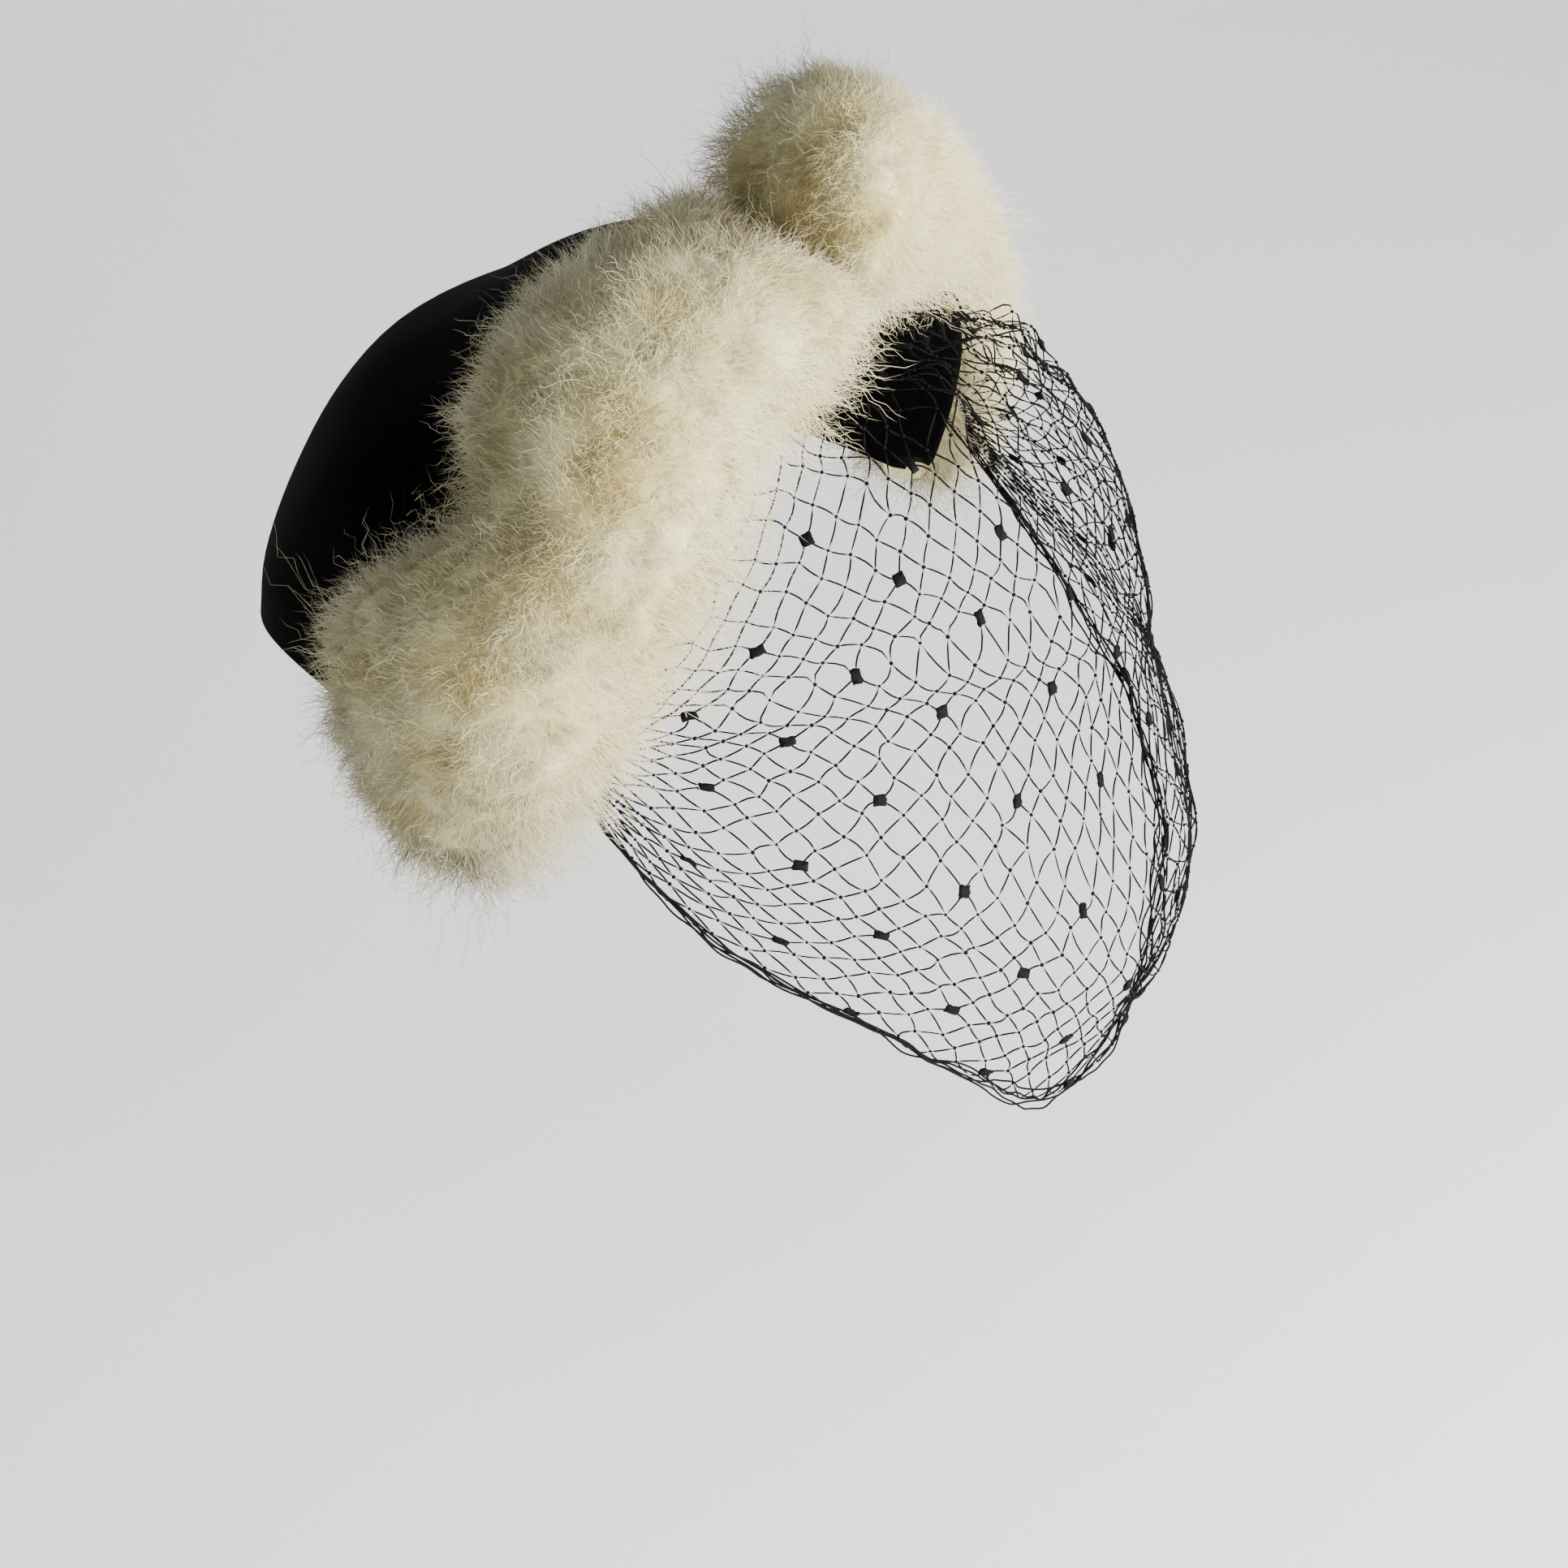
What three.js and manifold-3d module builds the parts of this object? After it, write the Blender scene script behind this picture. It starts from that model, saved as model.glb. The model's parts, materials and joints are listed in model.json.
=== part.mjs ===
// A half hat: a felt crown that hugs the top and back of the head, two strands of deep fur laid
// over its front edge, one from each ear to the middle, and a face veil of open net that hangs
// from under the fur to mouth level and is gathered to a point above each ear.
//
// Millimetres, +Z up. The wearer faces -Y and the wearer's right ear is towards -X. The origin
// is the top of the felt's inside, where the hat sits on the head.
import * as THREE from "three";
import { mergeVertices } from "three/addons/utils/BufferGeometryUtils.js";
import Module from "manifold-3d";

const wasm = await Module();
wasm.setup();

const rad = THREE.MathUtils.degToRad;
const { lerp, clamp } = THREE.MathUtils;

// ---------------------------------------------------------------- driving dimensions

// The felt's outside follows an ellipsoid: the head with its hair. Height is from the
// ellipsoid's middle to its top.
const crown = { halfWidth: 96, halfDepth: 116, height: 124, wall: 2 };

// Fan is an angle about a line that joins two points beside the ears, from straight back (0)
// over the top (90) to straight forward (180). The felt's edges start from earEnd, y back and
// z up from the ellipsoid's middle.
const earEnd = { y: -8, z: 26 };
const frontEdge = 112;
// The back edge dips between the ears: its fan at the nape and how much it rises at the sides.
const backEdge = { nape: -4, sideRise: 18 };
// How far the felt stands in or out of the ellipsoid from the nape up to the fur: a turned-in
// edge, a full shoulder and a shallow flat above it.
const crownRelief = [
  { fan: -6, rise: -2.2 },
  { fan: 1, rise: -0.6 },
  { fan: 16, rise: -0.4 },
  { fan: 32, rise: 0.9 },
  { fan: 48, rise: -2.3 },
  { fan: 64, rise: 0.2 },
  { fan: 80, rise: 0 },
];

// A strand of fur, from its end beside the ear to the middle of the head. Side is the angle up
// from the ear, back and front are where its edges lie along Y, and top is its height over
// the felt.
const strand = [
  { side: 10, back: 24, front: -22, top: 34 },
  { side: 21, back: 31, front: -32, top: 38 },
  { side: 31, back: 35, front: -41, top: 39 },
  { side: 37, back: 25, front: -47, top: 36 },
  { side: 43, back: 13, front: -50, top: 35 },
  { side: 52, back: 21, front: -51, top: 37 },
  { side: 63, back: 18, front: -52, top: 42 },
  { side: 74, back: 8, front: -54, top: 47 },
  { side: 84, back: 7, front: -54, top: 50 },
  { side: 96, back: 7, front: -54, top: 51 },
];
// Middle is the height of the strand's widest line over the felt, depth is how far the section
// reaches below that, and roundness is the power of the oval. The end beside the ear is
// rounded over earRound degrees, and the other end keeps joinShare of its fullness.
const strandForm = { middle: 14, depth: 24, roundness: 2.5, earSide: 7, earRound: 19, joinShare: 0.7 };
// The least fullness at the tip beside the ear, so that no section shrinks to a point.
const tipShare = 0.16;
// Where the strands meet over the middle of the head. The join slants, so end is its side angle
// half way across the fur, and slant is how many degrees it turns for each millimetre back. A
// strand's end is rounded over round degrees and sinks as it nears the join. Slim is how much
// of its breadth and height the strand has beside the ear, and hand is -1 on the left.
const meeting = {
  right: { hand: 1, end: 85.8, slant: 0.22, round: 9, sink: 25, sinkOver: 36, slim: 1 },
  left: { hand: -1, end: 93.9, slant: -0.22, round: 12, sink: 3, sinkOver: 12, slim: 0.78 },
};

// The net's gathered corner above each ear, on the felt's outside, from the ellipsoid's middle.
const gather = { y: -14, z: 48 };
// The net's middle line from its sewn edge to its hem: fan is about the line joining the
// gathered corners, and clear is how far the net's inside stands off the ellipsoid.
const netLine = [
  { fan: 106, clear: 0.7 },
  { fan: 118, clear: 0.9 },
  { fan: 131, clear: 6 },
  { fan: 151, clear: 6 },
  { fan: 169, clear: 2 },
  { fan: 188, clear: -4 },
  { fan: 199, clear: -3.5 },
  { fan: 211, clear: 3 },
  { fan: 219, clear: 5.5 },
  { fan: 226, clear: 3 },
  { fan: 232, clear: 4 },
];
// How many degrees the hem is hitched up half way between each ear and the middle.
const hemHitch = 8;
// A wall stops short of the points where its lines would meet, by this share of its width.
const margin = { felt: 0.015, net: 0.025, netBed: 0.0125 };

const gap = 0.3;
const netWall = 1;
// The flat facets of two curved surfaces may near each other by this much, and the felt's full
// shoulder still stands this proud where the fur begins.
const facetSag = 0.15;
const shoulderTail = 0.3;
// The room cut for the net in the fur: how far it reaches into the felt, and how many degrees
// it is widened at the net's edges beside the ears and in the middle.
const netBed = { sink: 4, edgeAtEar: 2.7, edgeInMiddle: 0.5 };

// How finely each surface is divided.
const feltGrid = { across: 38, down: 18 };
const furGrid = { along: 36, around: 26 };
const netGrid = { across: 38, down: 24 };
const bedGrid = { across: 72, down: 44 };
// Above 1, this crowds a strand's sections towards its rounded end beside the ear.
const furCrowding = 1.3;

// ---------------------------------------------------------------- the head's ellipsoid

const headMiddle = new THREE.Vector3(0, 0, crown.wall - crown.height);
const radii = new THREE.Vector3(crown.halfWidth, crown.halfDepth, crown.height);

// A point of the ellipsoid, given from its middle, moved off along the outward normal.
function lifted(p, off) {
  const normal = new THREE.Vector3(p.x / radii.x ** 2, p.y / radii.y ** 2, p.z / radii.z ** 2);
  return p.clone().addScaledVector(normal.normalize(), off).add(headMiddle);
}

// The point at a side angle up from the right ear and a place y along the head.
function onHead(side, y, off) {
  const k = Math.sqrt(1 - (y / radii.y) ** 2);
  const p = new THREE.Vector3(-radii.x * k * Math.cos(side), y, radii.z * k * Math.sin(side));
  return lifted(p, off);
}

// The point in the plane that leans at the angle fan about the line through (y, z) parallel
// to X. The plane cuts the ellipsoid in an ellipse, and across runs along it from the line's
// right end (0) over to its left end (1).
function onFan(line, across, fan, off) {
  const c = Math.cos(fan);
  const s = Math.sin(fan);
  const a = (c / radii.y) ** 2 + (s / radii.z) ** 2;
  const b = (line.y * c) / radii.y ** 2 + (line.z * s) / radii.z ** 2;
  const outside = (line.y / radii.y) ** 2 + (line.z / radii.z) ** 2;
  const size = Math.sqrt(1 - outside + (b * b) / a);
  const first = Math.asin(b / (Math.sqrt(a) * size));
  const angle = first + (Math.PI - 2 * first) * across;
  const reach = -b / a + (size / Math.sqrt(a)) * Math.sin(angle);
  const p = new THREE.Vector3(-radii.x * size * Math.cos(angle), line.y + reach * c, line.z + reach * s);
  return lifted(p, off);
}

// A value from a table at a place along its first column, by a smooth curve through the rows.
function read(table, column, name, at) {
  const last = table.length - 1;
  const i = clamp(table.findIndex((row) => row[column] > at) - 1, 0, last - 1);
  const k = at >= table[last][column] ? last - 1 : i;
  const t = clamp((at - table[k][column]) / (table[k + 1][column] - table[k][column]), 0, 1);
  const row = (n) => table[clamp(n, 0, last)][name];
  const [p, q, r, s] = [row(k - 1), row(k), row(k + 1), row(k + 2)];
  const curve = -p + 3 * q - 3 * r + s;
  return q + 0.5 * t * (r - p + t * (2 * p - 5 * q + 4 * r - s + t * curve));
}

// ---------------------------------------------------------------- closed surfaces from grids

const steps = (n, make) => Array.from({ length: n + 1 }, (_, i) => make(i / n));

// A closed mesh through loops of points. The first and last loops are closed by a fan.
function loft(loops) {
  const n = loops[0].length;
  const points = loops.flat();
  const middleOf = (loop) => loop.reduce((sum, p) => sum.add(p), new THREE.Vector3()).divideScalar(n);
  const first = points.push(middleOf(loops[0])) - 1;
  const last = points.push(middleOf(loops.at(-1))) - 1;
  const end = (loops.length - 1) * n;
  const faces = [];
  for (let j = 0; j < n; j++) {
    const k = (j + 1) % n;
    faces.push(first, k, j, last, end + j, end + k);
    for (let at = 0; at < end; at += n) {
      faces.push(at + j, at + k, at + n + k);
      faces.push(at + j, at + n + k, at + n + j);
    }
  }
  const geometry = new THREE.BufferGeometry();
  const values = points.flatMap((p) => p.toArray());
  geometry.setAttribute("position", new THREE.Float32BufferAttribute(values, 3));
  geometry.setIndex(faces);
  return geometry;
}

// A wall over a grid: across and down run from 0 to 1, and point gives its inner (0) and
// outer (1) face.
function wall(grid, point) {
  const row = (across, side) => steps(grid.down, (down) => point(across, down, side));
  return loft(steps(grid.across, (across) => [...row(across, 1), ...row(across, 0).reverse()]));
}

function solidOf(geometry) {
  const merged = mergeVertices(geometry, 1e-4);
  const vertProperties = merged.attributes.position.array;
  const triVerts = new Uint32Array(merged.index.array);
  return new wasm.Manifold(new wasm.Mesh({ numProp: 3, vertProperties, triVerts }));
}

function geometryOf(solid) {
  const mesh = solid.getMesh();
  const geometry = new THREE.BufferGeometry();
  geometry.setAttribute("position", new THREE.BufferAttribute(mesh.vertProperties, 3));
  geometry.setIndex(new THREE.BufferAttribute(mesh.triVerts, 1));
  return geometry;
}

// ---------------------------------------------------------------- the felt crown

// The felt's wall, from its back edge over the head to its front edge under the fur.
function crownGeometry() {
  return wall(feltGrid, (across, over, side) => {
    const share = lerp(margin.felt, 1 - margin.felt, across);
    const back = backEdge.nape + backEdge.sideRise * Math.cos(Math.PI * share) ** 2;
    const fan = lerp(back, frontEdge, over);
    const level = lerp(crownRelief[0].fan, frontEdge, over);
    const rise = read(crownRelief, "fan", "rise", level) * Math.sin(Math.PI * share);
    return onFan(earEnd, share, rad(fan), rise - crown.wall * (1 - side));
  });
}

// ---------------------------------------------------------------- the net veil

// The net's wall. As a tool it is swollen all round, to cut the room that the fur leaves for it.
function netGeometry(isTool = false) {
  const cut = isTool ? margin.netBed : margin.net;
  const swell = isTool ? gap + facetSag : 0;
  const sink = isTool ? netBed.sink : 0;
  return wall(netGrid, (across, down, side) => {
    const share = lerp(cut, 1 - cut, across);
    const widened = lerp(netBed.edgeAtEar, netBed.edgeInMiddle, Math.sin(Math.PI * share));
    const grow = isTool ? widened * (2 * down - 1) : 0;
    const hem = netLine.at(-1).fan - hemHitch * Math.sin(2 * Math.PI * share) ** 2;
    const fan = lerp(netLine[0].fan, hem, down);
    const clear = lerp(netLine[0].clear, read(netLine, "fan", "clear", fan), Math.sin(Math.PI * share));
    return onFan(gather, share, rad(fan + grow), side ? clear + netWall + swell : clear - sink);
  });
}

// ---------------------------------------------------------------- the fur strands

// A rounded end's fullness: 0 at the end (t = 0), rounding up to 1 (t = 1).
function rounded(t) {
  const { roundness } = strandForm;
  return (1 - (1 - clamp(t, 0, 1)) ** roundness) ** (1 / roundness);
}

// An oval section carried along the strand, up from the ear to where the strands meet.
function strandGeometry({ hand, end, slant, round, sink, sinkOver, slim }) {
  const { earSide, earRound, joinShare, middle, depth, roundness } = strandForm;
  const power = (v) => Math.sign(v) * Math.abs(v) ** (2 / roundness);
  const loops = steps(furGrid.along, (t) => {
    const side = lerp(earSide, end, t ** furCrowding);
    const atJoin = lerp(joinShare, 1, rounded((end - side) / round));
    const full = Math.max(rounded((side - earSide) / earRound), tipShare) * atJoin;
    const sunk = sink * clamp(1 - (end - side) / sinkOver, 0, 1) ** 2;
    const size = lerp(slim, 1, t ** 2);
    const back = read(strand, "side", "back", side) * size;
    const front = read(strand, "side", "front", side) * size;
    const rise = read(strand, "side", "top", side) * size - middle - sunk;
    return steps(furGrid.around, (turn) => {
      const angle = 2 * Math.PI * turn;
      const across = ((back - front) / 2) * full * power(Math.cos(angle));
      const up = power(Math.sin(angle));
      const off = full * (middle + (up > 0 ? rise : depth) * up);
      const p = onHead(rad(side + slant * across * t ** 4), (back + front) / 2 + across, off);
      return p.setX(hand * p.x);
    }).slice(1);
  });
  return loft(hand > 0 ? loops : loops.reverse());
}

// The room that the fur leaves for the felt and for the net that lies on it.
function furBed() {
  const ball = new THREE.SphereGeometry(1, bedGrid.across, bedGrid.down);
  ball.deleteAttribute("normal").deleteAttribute("uv");
  const off = gap + facetSag + shoulderTail;
  ball.scale(radii.x + off, radii.y + off, radii.z + off);
  ball.translate(headMiddle.x, headMiddle.y, headMiddle.z);
  return solidOf(ball).add(solidOf(netGeometry(true)));
}

// ---------------------------------------------------------------- the hat

const looks = {
  felt: new THREE.MeshStandardMaterial({ color: 0x0b0b0c, roughness: 0.95, metalness: 0 }),
  fur: new THREE.MeshStandardMaterial({ color: 0xe6dfc4, roughness: 0.9, metalness: 0 }),
  net: new THREE.MeshStandardMaterial({ color: 0x111113, roughness: 0.7, metalness: 0 }),
};

function makePiece(name, geometry, material) {
  const mesh = new THREE.Mesh(geometry, material);
  mesh.name = name;
  return mesh;
}

const group = new THREE.Group();
group.add(makePiece("crown_shell", crownGeometry(), looks.felt));
group.add(makePiece("net_veil", netGeometry(), looks.net));

const bed = furBed();
for (const [side, join] of Object.entries(meeting)) {
  const trim = solidOf(strandGeometry(join)).subtract(bed);
  group.add(makePiece(`fur_trim_${side}`, geometryOf(trim), looks.fur));
}

export default group;
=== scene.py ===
# A half hat: a black felt crown, two strands of deep cream fur over its front edge and a
# dotted face veil. Sizes are in millimetres, and each mesh is scaled to metres as it is made.
import json
import bmesh
import bpy
import numpy as np
from mathutils import Matrix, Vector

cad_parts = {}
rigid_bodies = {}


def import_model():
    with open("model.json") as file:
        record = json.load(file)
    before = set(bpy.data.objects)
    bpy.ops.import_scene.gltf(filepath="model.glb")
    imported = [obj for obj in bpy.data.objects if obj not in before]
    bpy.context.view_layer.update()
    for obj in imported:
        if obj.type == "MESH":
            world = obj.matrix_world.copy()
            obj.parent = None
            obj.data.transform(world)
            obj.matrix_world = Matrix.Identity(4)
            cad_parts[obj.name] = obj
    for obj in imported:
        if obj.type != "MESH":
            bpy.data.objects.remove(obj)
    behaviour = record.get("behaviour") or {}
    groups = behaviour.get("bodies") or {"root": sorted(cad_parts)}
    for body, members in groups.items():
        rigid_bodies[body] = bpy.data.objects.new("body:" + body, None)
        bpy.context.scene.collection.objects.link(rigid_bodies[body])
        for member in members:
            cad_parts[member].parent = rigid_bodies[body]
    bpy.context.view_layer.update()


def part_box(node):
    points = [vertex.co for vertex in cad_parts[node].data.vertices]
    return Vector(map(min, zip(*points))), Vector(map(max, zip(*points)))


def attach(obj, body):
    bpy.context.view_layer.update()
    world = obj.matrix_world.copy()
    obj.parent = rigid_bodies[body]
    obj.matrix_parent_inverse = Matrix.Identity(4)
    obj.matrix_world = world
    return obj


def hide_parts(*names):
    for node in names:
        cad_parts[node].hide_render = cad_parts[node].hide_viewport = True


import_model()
mm = 0.001


def boxOf(node):
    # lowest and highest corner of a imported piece, in millimetres
    return [np.array(corner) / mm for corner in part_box(node)]


def lerp(a, b, t):
    return a + (b - a) * t


def unit(v):
    return v / np.maximum(np.linalg.norm(v, axis=-1, keepdims=True), 1e-9)


def easeIn(x):
    # 0 below 0, 1 above 1, with a soft start and end
    x = np.clip(x, 0, 1)
    return x * x * (3 - 2 * x)


def readTable(table, place, name, at):
    # a smooth curve through a table's rows: a cubic whose slope at each row is half the
    # difference of its neighbours
    x, y = np.array(table[place], float), np.array(table[name], float)
    k = np.clip(np.searchsorted(x, at, side="right") - 1, 0, len(x) - 2)
    t = np.clip((at - x[k]) / (x[k + 1] - x[k]), 0, 1)
    p, q, r, s = (y[np.clip(k + n, 0, len(y) - 1)] for n in (-1, 0, 1, 2))
    return q + 0.5 * t * (r - p + t * (2 * p - 5 * q + 4 * r - s + t * (3 * q - p - 3 * r + s)))


def ripple(points, size, seed, outputs=1, waves=20):
    # smooth noise of about unit height: a sum of sine waves about size long, in directions
    # drawn from the seed
    rng = np.random.default_rng(seed)
    flat = np.asarray(points, float).reshape(-1, 3)
    result = np.empty((len(flat), outputs))
    for n in range(outputs):
        ways = unit(rng.normal(size=(waves, 3))) * (2 * np.pi / size * rng.uniform(0.6, 1.5, (waves, 1)))
        turns = rng.uniform(0, 2 * np.pi, waves)
        result[:, n] = np.sin(flat @ ways.T + turns).sum(1) * np.sqrt(2 / waves)
    shape = np.shape(points)[:-1]
    return result.reshape(shape + (outputs,)) if outputs > 1 else result.reshape(shape)


def linear(hexColour):
    # an sRGB colour such as "e8dfc0" as linear light, with alpha
    parts = np.array([int(hexColour[i:i + 2], 16) for i in (0, 2, 4)]) / 255
    low = parts / 12.92
    high = ((parts + 0.055) / 1.055) ** 2.4
    return (*np.where(parts <= 0.04045, low, high).tolist(), 1.0)


def gridFaces(rows, columns, closeColumns=False):
    # the quads of a grid whose point (i, j) is number i * columns + j
    i, j = np.meshgrid(np.arange(rows - 1), np.arange(columns - (not closeColumns)), indexing="ij")
    k = (j + 1) % columns
    quads = [i * columns + j, (i + 1) * columns + j, (i + 1) * columns + k, i * columns + k]
    return np.stack(quads, -1).reshape(-1, 4)


def makeMesh(name, points, faceGroups, material, tint=None):
    # puts arrays of points and of faces, with the same number of corners in each group, into
    # a mesh; tint is a colour for each point
    mesh = bpy.data.meshes.new(name)
    corners = [len(group[0]) for group in faceGroups for _ in group]
    loops = np.concatenate([np.ravel(group) for group in faceGroups]).astype(np.int32)
    starts = np.concatenate([[0], np.cumsum(corners)[:-1]]).astype(np.int32)
    mesh.vertices.add(len(points))
    mesh.vertices.foreach_set("co", (np.asarray(points) * mm).astype(np.float32).ravel())
    mesh.loops.add(len(loops))
    mesh.loops.foreach_set("vertex_index", loops)
    mesh.polygons.add(len(corners))
    mesh.polygons.foreach_set("loop_start", starts)
    mesh.update(calc_edges=True)
    mesh.validate()
    mesh.shade_smooth()
    if tint is not None:
        paint = mesh.attributes.new("tint", "FLOAT_COLOR", "POINT")
        paint.data.foreach_set("color", tint.astype(np.float32).ravel())
    mesh.materials.append(material)
    piece = bpy.data.objects.new(name, mesh)
    bpy.context.scene.collection.objects.link(piece)
    return piece


def closeUp(mesh):
    # joins the points that a surface brings together, at its poles and thinned edges
    shape = bmesh.new()
    shape.from_mesh(mesh)
    bmesh.ops.remove_doubles(shape, verts=shape.verts, dist=1e-6)
    bmesh.ops.dissolve_degenerate(shape, edges=shape.edges, dist=1e-6)
    shape.to_mesh(mesh)
    shape.free()
    mesh.shade_smooth()


pieces = []


def seat(piece, node):
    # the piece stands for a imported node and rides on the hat's one body
    pieces.append(piece.name)
    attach(piece, "root")
    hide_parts(node)


def addNode(material, kind, settings=None, links=None):
    # adds one node: settings are its properties and plain input values, and links the outputs
    # that feed its inputs, by input name or number
    made = material.node_tree.nodes.new(kind)
    for key, value in (settings or {}).items():
        if isinstance(key, str) and hasattr(made, key):
            setattr(made, key, value)
        else:
            made.inputs[key].default_value = value
    for key, source in (links or {}).items():
        material.node_tree.links.new(source, made.inputs[key])
    return made


def newMaterial(name):
    material = bpy.data.materials.new(name)
    material.use_nodes = True
    material.node_tree.nodes.clear()
    return material


def spindles(paths, thick, sides=3):
    # closed hairs or threads that taper to a point at both ends. paths is hairs x points x 3
    # and thick is the radius at each point between the ends. Gives points, faces and normals
    count, steps, _ = paths.shape
    along = unit(np.gradient(paths, axis=1))
    across = unit(np.cross(along, unit(np.roll(paths[:, -1] - paths[:, 0], 1, axis=-1))[:, None]))
    other = np.cross(along, across)
    angle = 2 * np.pi * np.arange(sides) / sides
    inner = slice(1, steps - 1)
    ring = np.cos(angle)[:, None] * across[:, inner, None] + np.sin(angle)[:, None] * other[:, inner, None]
    rings = paths[:, inner, None] + ring * thick[:, :, None, None]
    points = np.concatenate([paths[:, :1], rings.reshape(count, -1, 3), paths[:, -1:]], 1)
    size = points.shape[1]
    k = np.arange(sides)
    first = np.stack([0 * k, 1 + (k + 1) % sides, 1 + k], -1)
    last = np.stack([0 * k + size - 1, size - 1 - sides + k, size - 1 - sides + (k + 1) % sides], -1)
    tubes = 1 + gridFaces(steps - 2, sides, True)[:, ::-1] if steps > 3 else np.empty((0, 4), int)
    base = (np.arange(count) * size)[:, None, None]
    groups = [(np.concatenate([first, last]) + base).reshape(-1, 3)]
    if len(tubes):
        groups.append((tubes + base).reshape(-1, 4))
    tips = np.zeros((count, 1, 3))
    normals = np.concatenate([tips, ring.reshape(count, -1, 3), tips], 1)
    return points.reshape(-1, 3), groups, normals.reshape(-1, 3)


# the head that the hat is worn on
head = {"halfWidth": 96, "halfDepth": 116, "height": 124}
radii = np.array([head["halfWidth"], head["halfDepth"], head["height"]], float)
feltWall = boxOf("crown_shell")[1][2]  # the felt's top is one wall over the origin
headMiddle = np.array([0, 0, feltWall - head["height"]])


def lifted(p, off):
    # a point of the ellipsoid, given from its middle, moved off along the outward normal
    return p + unit(p / radii ** 2) * off[..., None] + headMiddle


def onHead(side, y, off):
    # the point at an angle side up from the right ear and a place y along the head
    k = np.sqrt(1 - (y / radii[1]) ** 2)
    x, y, z = np.broadcast_arrays(-radii[0] * k * np.cos(side), y, radii[2] * k * np.sin(side))
    return lifted(np.stack([x, y, z], -1), off)


def fanEllipse(line, fan):
    # the ellipse in which the plane at the angle fan about a line along X cuts the head: its
    # size, the angle at which it starts from the line, and the sums its points are made of
    c, s = np.cos(fan), np.sin(fan)
    a = (c / radii[1]) ** 2 + (s / radii[2]) ** 2
    b = line["y"] * c / radii[1] ** 2 + line["z"] * s / radii[2] ** 2
    outside = (line["y"] / radii[1]) ** 2 + (line["z"] / radii[2]) ** 2
    size = np.sqrt(1 - outside + b ** 2 / a)
    return size, np.arcsin(b / (np.sqrt(a) * size)), a, b


def onFan(line, share, fan, off):
    # the point a share of the way along that ellipse from the wearer's right to the left
    size, first, a, b = fanEllipse(line, fan)
    angle = first + (np.pi - 2 * first) * share
    reach = -b / a + size / np.sqrt(a) * np.sin(angle)
    y = line["y"] + reach * np.cos(fan)
    z = line["z"] + reach * np.sin(fan)
    x, y, z = np.broadcast_arrays(-radii[0] * size * np.cos(angle), y, z)
    return lifted(np.stack([x, y, z], -1), off)


# camera, light and floor; angles are in degrees
studio = {
    "azimuth": -60, "elevation": 32, "distance": 1050,
    "lens": 100.6, "sensor": 36,
    "aimAside": 18.1, "aimAbove": -14.4,  # from the ellipsoid's middle, across the view
    "floor": -310, "floorRadius": 1500, "wallRadius": 3000, "wallHeight": 2400, "wallCurve": 1.5,
    "rings": 60, "spokes": 96,  # how finely the floor is divided
    "floorColour": "f9f8f5", "world": "c8d6f4", "worldStrength": 0.36,
}
lamps = {  # azimuth and elevation say where the lamp stands, seen from the hat
    "key": {
        "azimuth": -8, "elevation": 11, "distance": 1250, "size": 800, "watts": 80, "colour": "fffbf5"},
    "fill": {
        "azimuth": -95, "elevation": 65, "distance": 1500, "size": 900, "watts": 4, "colour": "dfe8ff"},
    "back": {
        "azimuth": 128, "elevation": 30, "distance": 1500, "size": 900, "watts": 8, "colour": "f2f5ff"},
}


def direction(azimuth, elevation):
    # the way from the hat to a place so many degrees round from its front and up
    a, e = np.radians([azimuth, elevation])
    return np.array([np.sin(a) * np.cos(e), -np.cos(a) * np.cos(e), np.sin(e)])


def aimed(thing, place, back):
    # stands a camera or lamp at a place, looking against the direction back
    right = unit(np.cross([0, 0, 1], back))
    up = np.cross(back, right)
    turn = Matrix(np.column_stack([right, up, back]).tolist()).to_4x4()
    thing.matrix_world = Matrix.Translation((place * mm).tolist()) @ turn
    bpy.context.scene.collection.objects.link(thing)


def makeCamera():
    back = direction(studio["azimuth"], studio["elevation"])
    right = unit(np.cross([0, 0, 1], back))
    aim = headMiddle + right * studio["aimAside"] + np.cross(back, right) * studio["aimAbove"]
    data = bpy.data.cameras.new("camera")
    data.sensor_width = studio["sensor"]
    data.lens = studio["lens"]
    camera = bpy.data.objects.new("camera", data)
    aimed(camera, aim + back * studio["distance"], back)
    bpy.context.scene.camera = camera


def makeLamps():
    for name, lamp in lamps.items():
        data = bpy.data.lights.new(name, "AREA")
        data.shape = "DISK"
        data.size = lamp["size"] * mm
        data.energy = lamp["watts"]
        data.color = linear(lamp["colour"])[:3]
        back = direction(lamp["azimuth"], lamp["elevation"])
        aimed(bpy.data.objects.new(name, data), headMiddle + back * lamp["distance"], back)
    world = bpy.data.worlds.new("world")
    world.use_nodes = True
    background = world.node_tree.nodes["Background"]
    background.inputs["Color"].default_value = linear(studio["world"])
    background.inputs["Strength"].default_value = studio["worldStrength"]
    bpy.context.scene.world = world


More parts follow.
